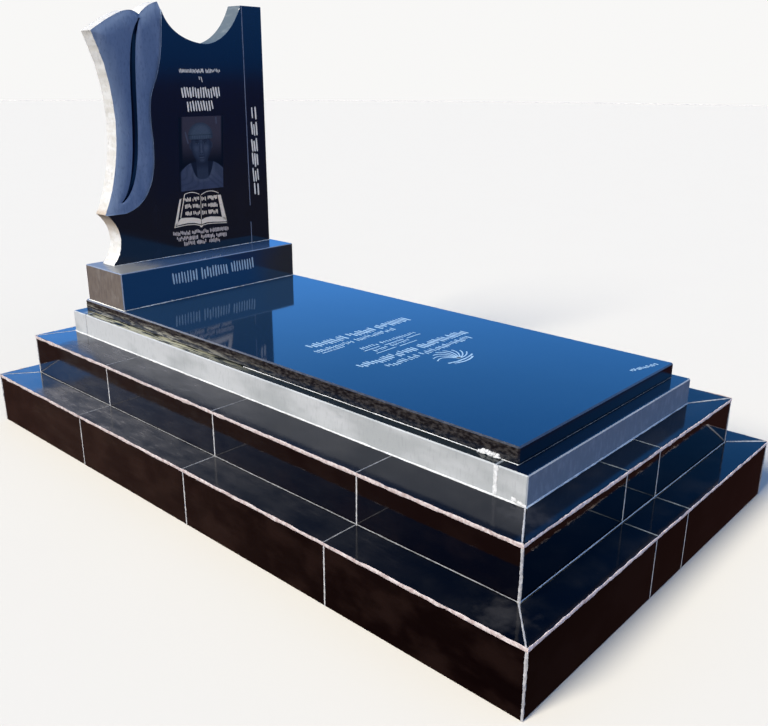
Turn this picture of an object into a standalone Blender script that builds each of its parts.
"""Granite headstone with two carved leaves, on a ledger, a kerb and a tiled plinth of two steps.

Metres, +Z up. The ground is Z = 0, the origin lies under the middle of the lower step,
the foot of the grave is at -Y and the stone's face looks to -Y. Left is -X, as seen from the foot.
"""
import math
from dataclasses import dataclass

import bmesh
import bpy
import numpy as np
from mathutils import Vector
from mathutils.geometry import interpolate_bezier

# Fits
CLEARANCE = 0.0003          # between pieces that touch
GROUT_JOINT = 0.004         # between neighbouring tiles
MORTAR_JOINT = 0.003        # between a tread and what rises from it, and between kerb stones

# Steps: overall size of the lower one, and the width of tread left open on each side
LOWER_WIDTH = 1.392
LOWER_LENGTH = 2.400
LOWER_RISE = 0.1875
LOWER_TREAD_LEFT = 0.118
LOWER_TREAD_RIGHT = 0.096
LOWER_TREAD_FOOT = 0.098
LOWER_TREAD_HEAD = 0.088
UPPER_RISE = 0.149
UPPER_TREAD_LEFT = 0.139
UPPER_TREAD_RIGHT = 0.138
UPPER_TREAD_FOOT = 0.085
UPPER_TREAD_HEAD = 0.052

# Glazed tiles
TILE_LENGTH = 0.600
TILE_THICKNESS = 0.010
SHORTEST_CUT = 0.030        # no tile is cut shorter than this
NOSING = 0.0015             # a tread stands proud of its riser
TILE_ARRIS = 0.001
HEAD_JOINT_DEPTH = 0.002    # joints sunk into the fused strips of the head end

# Kerb stones
KERB_RISE = 0.0813          # above the upper tread
KERB_THICKNESS = 0.088
KERB_ARRIS = 0.003

# Ledger slab, set in from the kerb
LEDGER_THICKNESS = 0.0455
LEDGER_INSET_LEFT = 0.034
LEDGER_INSET_RIGHT = 0.025
LEDGER_INSET_FOOT = 0.049
LEDGER_INSET_HEAD = 0.042
LEDGER_ARRIS = 0.004

# Block under the headstone, set in from the ledger
BASE_HEIGHT = 0.138
BASE_DEPTH = 0.248
BASE_INSET_SIDE = 0.0075
BASE_INSET_HEAD = 0.015
BASE_ARRIS = 0.003

# Headstone slab
STONE_THICKNESS = 0.080
STONE_HEIGHT = 0.942        # to the right shoulder
STONE_SETBACK = 0.136       # from the front of the block to the face
STONE_INSET_LEFT = 0.048
STONE_INSET_RIGHT = 0.014

# Outline of the slab as shares of its width and height, from its left foot clockwise
FOOT_LEFT = (0.006, 0.0)
CUSP = (0.0, 0.2013)
LEAF_TIP = (0.0166, 0.8776)
LEAF_VALLEY = (0.2747, 0.9418)
PEAK = (0.3797, 0.9917)
SCOOP_LOW = (0.6348, 0.8440)
SHOULDER = (0.8659, 1.0)
NOTCH_HANDLES = ((0.080, 0.0616), (0.0777, 0.1423))
SIDE_HANDLES = ((0.127, 0.402), (0.1337, 0.6726))
OUTER_LEAF_HANDLES = ((0.205, 0.9726), (0.2348, 0.9623))
INNER_LEAF_HANDLES = ((0.2993, 0.9664), (0.3412, 0.9863))
SCOOP_FALL_HANDLES = ((0.4046, 0.8475), (0.6222, 0.8440))
SCOOP_RISE_HANDLES = ((0.6718, 0.8440), (0.7938, 0.8665))

# Carving, in the same shares: where the leaves meet the polished panel, and the groove between them
LEAF_EDGE_TOP = (0.3878, 0.9639)
LEAF_EDGE_WAIST = (0.2855, 0.5023)
LEAF_EDGE_UPPER_HANDLES = ((0.3682, 0.6255), (0.2676, 0.7410))
LEAF_EDGE_LOWER_HANDLES = ((0.3126, 0.1426), (0.0119, 0.2013))
GROOVE_TOP = (0.2722, 0.9264)
GROOVE_TIP = (0.0740, 0.2359)
GROOVE_HANDLES = ((0.1475, 0.8233), (0.2664, 0.3081))
GROOVE_WIDTH = 0.023
GROOVE_DEPTH = 0.008
LEAF_SINK = 0.0025          # leaves lie this much behind the panel
LEAF_RUN_OUT = 0.00075      # and end this far below the cusp
RIM_DROP = 0.012            # further fall towards the slab's own edge
RIM_REACH = 0.055
SEAM_DROP = 0.003           # further fall towards the groove and the panel
SEAM_REACH = 0.022
CARVING_ROWS = 44
CUTTER_REACH = 0.020        # a cutter runs this far past what it cuts

SIDES = ("left", "right", "foot", "head")


@dataclass(frozen=True)
class Plan:
    """A rectangle seen from above, by the places of its four sides."""

    left: float
    right: float
    foot: float
    head: float

    def inset(self, left, right, foot, head):
        """The rectangle with each side moved in by its own distance."""
        return Plan(self.left + left, self.right - right, self.foot + foot, self.head - head)

    def shrunk(self, by):
        """The rectangle with all sides moved in by one distance, or out by a negative one."""
        return self.inset(by, by, by, by)

    def corners(self):
        """The four corners, anticlockwise from the left foot one."""
        return [(self.left, self.foot), (self.right, self.foot),
                (self.right, self.head), (self.left, self.head)]

    def along(self, side):
        """Both ends of one side, measured along it."""
        return (self.foot, self.head) if side in ("left", "right") else (self.left, self.right)


# Plans of the courses, from the ground up
LOWER_PLAN = Plan(-LOWER_WIDTH / 2, LOWER_WIDTH / 2, -LOWER_LENGTH / 2, LOWER_LENGTH / 2)
UPPER_PLAN = LOWER_PLAN.inset(LOWER_TREAD_LEFT, LOWER_TREAD_RIGHT, LOWER_TREAD_FOOT, LOWER_TREAD_HEAD)
KERB_PLAN = UPPER_PLAN.inset(UPPER_TREAD_LEFT, UPPER_TREAD_RIGHT, UPPER_TREAD_FOOT, UPPER_TREAD_HEAD)
LEDGER_PLAN = KERB_PLAN.inset(LEDGER_INSET_LEFT, LEDGER_INSET_RIGHT, LEDGER_INSET_FOOT, LEDGER_INSET_HEAD)
BASE_HEAD = LEDGER_PLAN.head - BASE_INSET_HEAD
BASE_PLAN = Plan(LEDGER_PLAN.left + BASE_INSET_SIDE, LEDGER_PLAN.right - BASE_INSET_SIDE,
                 BASE_HEAD - BASE_DEPTH, BASE_HEAD)

# Levels, from the ground up
LOWER_TOP = LOWER_RISE
UPPER_TOP = LOWER_TOP + UPPER_RISE
KERB_TOP = UPPER_TOP + KERB_RISE
LEDGER_BOTTOM = KERB_TOP + CLEARANCE
LEDGER_TOP = LEDGER_BOTTOM + LEDGER_THICKNESS
BASE_BOTTOM = LEDGER_TOP + CLEARANCE
BASE_TOP = BASE_BOTTOM + BASE_HEIGHT
STONE_BOTTOM = BASE_TOP + CLEARANCE

# Place of the slab on its block
STONE_LEFT = BASE_PLAN.left + STONE_INSET_LEFT
STONE_RIGHT = BASE_PLAN.right - STONE_INSET_RIGHT
STONE_WIDTH = STONE_RIGHT - STONE_LEFT
STONE_FACE = BASE_PLAN.foot + STONE_SETBACK


def clear_scene():
    """Empties the file, so that the part is all that it holds."""
    for thing in list(bpy.data.objects):
        bpy.data.objects.remove(thing, do_unlink=True)


def material(name, colour, roughness):
    """A plain surface of one colour; none of the part is metal."""
    made = bpy.data.materials.new(name)
    made.use_nodes = True
    shader = made.node_tree.nodes["Principled BSDF"]
    shader.inputs["Base Color"].default_value = (*colour, 1.0)
    shader.inputs["Roughness"].default_value = roughness
    shader.inputs["Metallic"].default_value = 0.0
    return made


def add_object(name, bm, surface):
    """Turns a bmesh with outward faces into a named object."""
    bmesh.ops.recalc_face_normals(bm, faces=bm.faces)
    mesh = bpy.data.meshes.new(name)
    bm.to_mesh(mesh)
    bm.free()
    mesh.materials.append(surface)
    made = bpy.data.objects.new(name, mesh)
    bpy.context.scene.collection.objects.link(made)
    return made


def prism(name, outline, low, high, surface, arris=0.0):
    """Extrudes an outline in plan between two levels, and breaks its edges by the arris."""
    bm = bmesh.new()
    floor = bm.faces.new([bm.verts.new((x, y, low)) for x, y in outline])
    raised = bmesh.ops.extrude_face_region(bm, geom=[floor])["geom"]
    bmesh.ops.translate(bm, vec=(0, 0, high - low),
                        verts=[item for item in raised if isinstance(item, bmesh.types.BMVert)])
    made = add_object(name, bm, surface)
    if arris:
        bevel = made.modifiers.new("arris", "BEVEL")
        bevel.width = arris
        bevel.segments = 1
        bevel.limit_method = "ANGLE"
    return made


def make_cutter(name, bm, target):
    """Keeps a bmesh as a hidden tool that is cut out of the target."""
    tool = add_object(name, bm, target.data.materials[0])
    tool.hide_render = True
    tool.display_type = "WIRE"
    cut = target.modifiers.new(name, "BOOLEAN")
    cut.operation = "DIFFERENCE"
    cut.object = tool
    return tool


def tile_joints(side):
    """Joint lines across one side, which every course of tiles shares."""
    start, end = LOWER_PLAN.along(side)
    if side in ("left", "right"):
        count = math.ceil((end - start - SHORTEST_CUT) / TILE_LENGTH)
        return [start + TILE_LENGTH * step for step in range(1, count)]
    pairs = int((end - start - SHORTEST_CUT) / (2 * TILE_LENGTH))
    if pairs == 0:
        return [(start + end) / 2]
    from_start = [start + TILE_LENGTH * step for step in range(1, pairs + 1)]
    from_end = [end - TILE_LENGTH * step for step in range(pairs, 0, -1)]
    return from_start + from_end


def strip_outline(outer, inner, side, start=None, end=None):
    """Plan of one strip of a mitred ring; an end without a joint line runs to the mitre."""
    outer_ends, inner_ends = outer.along(side), inner.along(side)
    mitre_gap = GROUT_JOINT / math.sqrt(2)
    near = [start + GROUT_JOINT / 2] * 2 if start is not None else [
        outer_ends[0] + mitre_gap, inner_ends[0] + mitre_gap]
    far = [end - GROUT_JOINT / 2] * 2 if end is not None else [
        outer_ends[1] - mitre_gap, inner_ends[1] - mitre_gap]
    outer_line, inner_line = getattr(outer, side), getattr(inner, side)
    points = [(near[0], outer_line), (far[0], outer_line), (far[1], inner_line), (near[1], inner_line)]
    if side in ("left", "right"):
        points = [(across, along) for along, across in points]
    return points


def lay_course(name, outer, inner, low, high, glaze):
    """Lays one ring of tiles: single ones on three sides and a fused strip along the head."""
    for side in SIDES:
        first, last = inner.along(side)
        lines = [line for line in tile_joints(side)
                 if first + SHORTEST_CUT < line < last - SHORTEST_CUT]
        if side == "head":
            strip = prism(f"{name}_head", strip_outline(outer, inner, side), low, high, glaze)
            groove_strip(strip, lines, outer, inner, low, high)
            continue
        ends = [None, *lines, None]
        for number in range(len(ends) - 1):
            outline = strip_outline(outer, inner, side, ends[number], ends[number + 1])
            prism(f"{name}_{side}_{number + 1}", outline, low, high, glaze, TILE_ARRIS)


def groove_strip(strip, lines, outer, inner, low, high):
    """Sinks the joints of a fused strip into the face that shows: a riser's outer face or a tread's top."""
    upright = high - low > outer.head - inner.head
    for number, line in enumerate(lines):
        near = outer.head - HEAD_JOINT_DEPTH if upright else inner.head - CUTTER_REACH
        bottom = low - CUTTER_REACH if upright else high - HEAD_JOINT_DEPTH
        groove = Plan(line - GROUT_JOINT / 2, line + GROUT_JOINT / 2, near, outer.head + CUTTER_REACH)
        bm = bmesh.new()
        floor = bm.faces.new([bm.verts.new((x, y, bottom)) for x, y in groove.corners()])
        raised = bmesh.ops.extrude_face_region(bm, geom=[floor])["geom"]
        bmesh.ops.translate(bm, vec=(0, 0, high + CUTTER_REACH - bottom),
                            verts=[item for item in raised if isinstance(item, bmesh.types.BMVert)])
        make_cutter(f"{strip.name}_joint_{number + 1}", bm, strip)


def build_step(name, plan, inside, floor, top, glaze, concrete):
    """One step: a cast core, risers around it and treads that lie over both."""
    tread_bottom = top - TILE_THICKNESS
    riser_plan = plan.shrunk(NOSING)
    riser_back = riser_plan.shrunk(TILE_THICKNESS)
    core_plan = riser_back.shrunk(CLEARANCE)
    prism(f"{name}_step_core", core_plan.corners(), floor, tread_bottom - CLEARANCE, concrete)
    lay_course(f"{name}_riser", riser_plan, riser_back, floor, tread_bottom - CLEARANCE, glaze)
    lay_course(f"{name}_tread", plan, inside.shrunk(-MORTAR_JOINT), tread_bottom, top, glaze)


def build_kerb(granite):
    """Four kerb stones: the foot and head ones run the full width, the long ones between them."""
    inner = KERB_PLAN.shrunk(KERB_THICKNESS)
    between = (inner.foot + MORTAR_JOINT, inner.head - MORTAR_JOINT)
    stones = {
        "foot": Plan(KERB_PLAN.left, KERB_PLAN.right, KERB_PLAN.foot, inner.foot),
        "head": Plan(KERB_PLAN.left, KERB_PLAN.right, inner.head, KERB_PLAN.head),
        "left": Plan(KERB_PLAN.left, inner.left, *between),
        "right": Plan(inner.right, KERB_PLAN.right, *between),
    }
    for side, plan in stones.items():
        prism(f"kerb_{side}", plan.corners(), UPPER_TOP - TILE_THICKNESS, KERB_TOP, granite, KERB_ARRIS)


def stone_point(share):
    """A share of the slab's width and height as a place across and up."""
    return Vector((STONE_LEFT + share[0] * STONE_WIDTH, STONE_BOTTOM + share[1] * STONE_HEIGHT))


def stone_curve(start, handles, end, steps):
    """Points along a curve on the slab's face, its start included and its end left out."""
    points = interpolate_bezier(*(stone_point(share).to_3d() for share in (start, *handles, end)), steps + 1)
    return [(point.x, point.y) for point in points[:-1]]


def leaf_rim():
    """The slab's outline along the carved leaves, from the cusp to the peak."""
    return (stone_curve(CUSP, SIDE_HANDLES, LEAF_TIP, 16)
            + stone_curve(LEAF_TIP, OUTER_LEAF_HANDLES, LEAF_VALLEY, 10)
            + stone_curve(LEAF_VALLEY, INNER_LEAF_HANDLES, PEAK, 6)
            + [tuple(stone_point(PEAK))])


def stone_outline():
    """The whole outline of the slab, clockwise from its left foot."""
    return (stone_curve(FOOT_LEFT, NOTCH_HANDLES, CUSP, 10)
            + leaf_rim()[:-1]
            + stone_curve(PEAK, SCOOP_FALL_HANDLES, SCOOP_LOW, 12)
            + stone_curve(SCOOP_LOW, SCOOP_RISE_HANDLES, SHOULDER, 8)
            + [tuple(stone_point(SHOULDER)), (STONE_RIGHT, STONE_BOTTOM + STONE_HEIGHT),
               (STONE_RIGHT, STONE_BOTTOM)])


def distance_to_line(x, z, line):
    """Shortest distance from a point to a line of points."""
    points = np.array(line)
    starts, runs = points[:-1], points[1:] - points[:-1]
    offset = np.array((x, z)) - starts
    share = np.clip((offset * runs).sum(axis=1) / (runs ** 2).sum(axis=1), 0, 1)
    return float(np.linalg.norm(offset - share[:, None] * runs, axis=1).min())


def across_at(line, heights):
    """Where a rising line stands across the slab at each height; past its ends it stays put."""
    points = sorted(line, key=lambda point: point[1])
    return np.interp(heights, [z for x, z in points], [x for x, z in points])


def fade(distance, reach):
    """Falls softly from 1 at no distance to 0 at the reach."""
    return max(0.0, 1.0 - distance / reach) ** 2


class LeafCarving:
    """Two shallow leaves side by side: how deep their surface lies at each place on the slab."""

    def __init__(self):
        self.rim = leaf_rim()
        edge = (stone_curve(LEAF_EDGE_TOP, LEAF_EDGE_UPPER_HANDLES, LEAF_EDGE_WAIST, 24)
                + stone_curve(LEAF_EDGE_WAIST, LEAF_EDGE_LOWER_HANDLES, CUSP, 24))
        self.foot = stone_point(CUSP).y - LEAF_RUN_OUT
        self.edge = edge[:next(place for place, point in enumerate(edge) if point[1] < self.foot)]
        self.groove = stone_curve(GROOVE_TOP, GROOVE_HANDLES, GROOVE_TIP, 24)
        self.groove_ends = (self.groove[-1][1], self.groove[0][1])

    def groove_half_width(self, z):
        """Half the groove's width, full along the middle and running out at both ends."""
        low, high = self.groove_ends
        share = 2 * (z - low) / (high - low) - 1
        return GROOVE_WIDTH / 2 * math.sqrt(max(0.0, 1 - share ** 4))

    def depth(self, x, z, groove_x):
        """Depth of the surface behind the polished panel."""
        half = self.groove_half_width(z)
        off_groove = abs(x - groove_x) - half
        seam = min(max(off_groove, 0.0), distance_to_line(x, z, self.edge)) if half else SEAM_REACH
        depth = LEAF_SINK + RIM_DROP * fade(distance_to_line(x, z, self.rim), RIM_REACH)
        depth += SEAM_DROP * fade(seam, SEAM_REACH)
        if half and off_groove < 0:
            depth += GROOVE_DEPTH * -off_groove / half
        return depth

    def grid(self):
        """Rows of (x, depth, z) from the slab's rim across both leaves to the panel."""
        heights = np.linspace(self.foot, STONE_BOTTOM + STONE_HEIGHT + CUTTER_REACH, CARVING_ROWS)
        rims = across_at(self.rim[:17], heights)
        edges = across_at(self.edge, heights)
        grooves = across_at(self.groove, heights)
        rows = []
        for z, rim, edge, groove in zip(heights, rims, edges, grooves):
            width = edge - rim
            middle = min(max(groove, rim + 0.35 * width), edge - 0.25 * width)
            half = max(self.groove_half_width(z), GROOVE_WIDTH / 8)
            across = [rim - CUTTER_REACH]
            across += [rim + share * (middle - half - rim) for share in (0, 0.15, 0.35, 0.65, 0.88, 1)]
            across += [middle]
            across += [middle + half + share * (edge - middle - half) for share in (0, 0.15, 0.4, 0.7, 0.9, 1)]
            rows.append([(x, self.depth(x, z, middle), z) for x in across])
        return rows

    def cutter(self):
        """The closed body between the carved surface and the air in front of the slab."""
        rows = self.grid()
        bm = bmesh.new()
        back = [[bm.verts.new((x, STONE_FACE + depth, z)) for x, depth, z in row] for row in rows]
        front = [[bm.verts.new((x, STONE_FACE - CUTTER_REACH, z)) for x, depth, z in row] for row in rows]
        last_row, last_column = len(rows) - 1, len(rows[0]) - 1
        for sheet in (back, front):
            for row in range(last_row):
                for column in range(last_column):
                    bm.faces.new((sheet[row][column], sheet[row][column + 1],
                                  sheet[row + 1][column + 1], sheet[row + 1][column]))
        for row in range(last_row):
            for column in (0, last_column):
                bm.faces.new((back[row][column], back[row + 1][column],
                              front[row + 1][column], front[row][column]))
        for column in range(last_column):
            for row in (0, last_row):
                bm.faces.new((back[row][column], back[row][column + 1],
                              front[row][column + 1], front[row][column]))
        return bm


def build_headstone(granite):
    """The slab: its outline between face and back, less the carving."""
    bm = bmesh.new()
    face = bm.faces.new([bm.verts.new((x, STONE_FACE, z)) for x, z in stone_outline()])
    pushed = bmesh.ops.extrude_face_region(bm, geom=[face])["geom"]
    bmesh.ops.translate(bm, vec=(0, STONE_THICKNESS, 0),
                        verts=[item for item in pushed if isinstance(item, bmesh.types.BMVert)])
    stone = add_object("headstone", bm, granite)
    make_cutter("headstone_leaf_carving", LeafCarving().cutter(), stone)


def build():
    """Builds the monument from the ground up."""
    clear_scene()
    concrete = material("cast_concrete", (0.36, 0.35, 0.33), 0.9)
    glaze = material("black_glazed_tile", (0.012, 0.011, 0.014), 0.12)
    honed = material("honed_granite", (0.33, 0.35, 0.38), 0.6)
    polished = material("polished_black_granite", (0.012, 0.016, 0.028), 0.08)

    build_step("lower", LOWER_PLAN, UPPER_PLAN, 0.0, LOWER_TOP, glaze, concrete)
    build_step("upper", UPPER_PLAN, KERB_PLAN, LOWER_TOP - TILE_THICKNESS, UPPER_TOP, glaze, concrete)
    build_kerb(honed)
    prism("ledger_slab", LEDGER_PLAN.corners(), LEDGER_BOTTOM, LEDGER_TOP, polished, LEDGER_ARRIS)
    prism("headstone_base", BASE_PLAN.corners(), BASE_BOTTOM, BASE_TOP, polished, BASE_ARRIS)
    build_headstone(polished)


build()
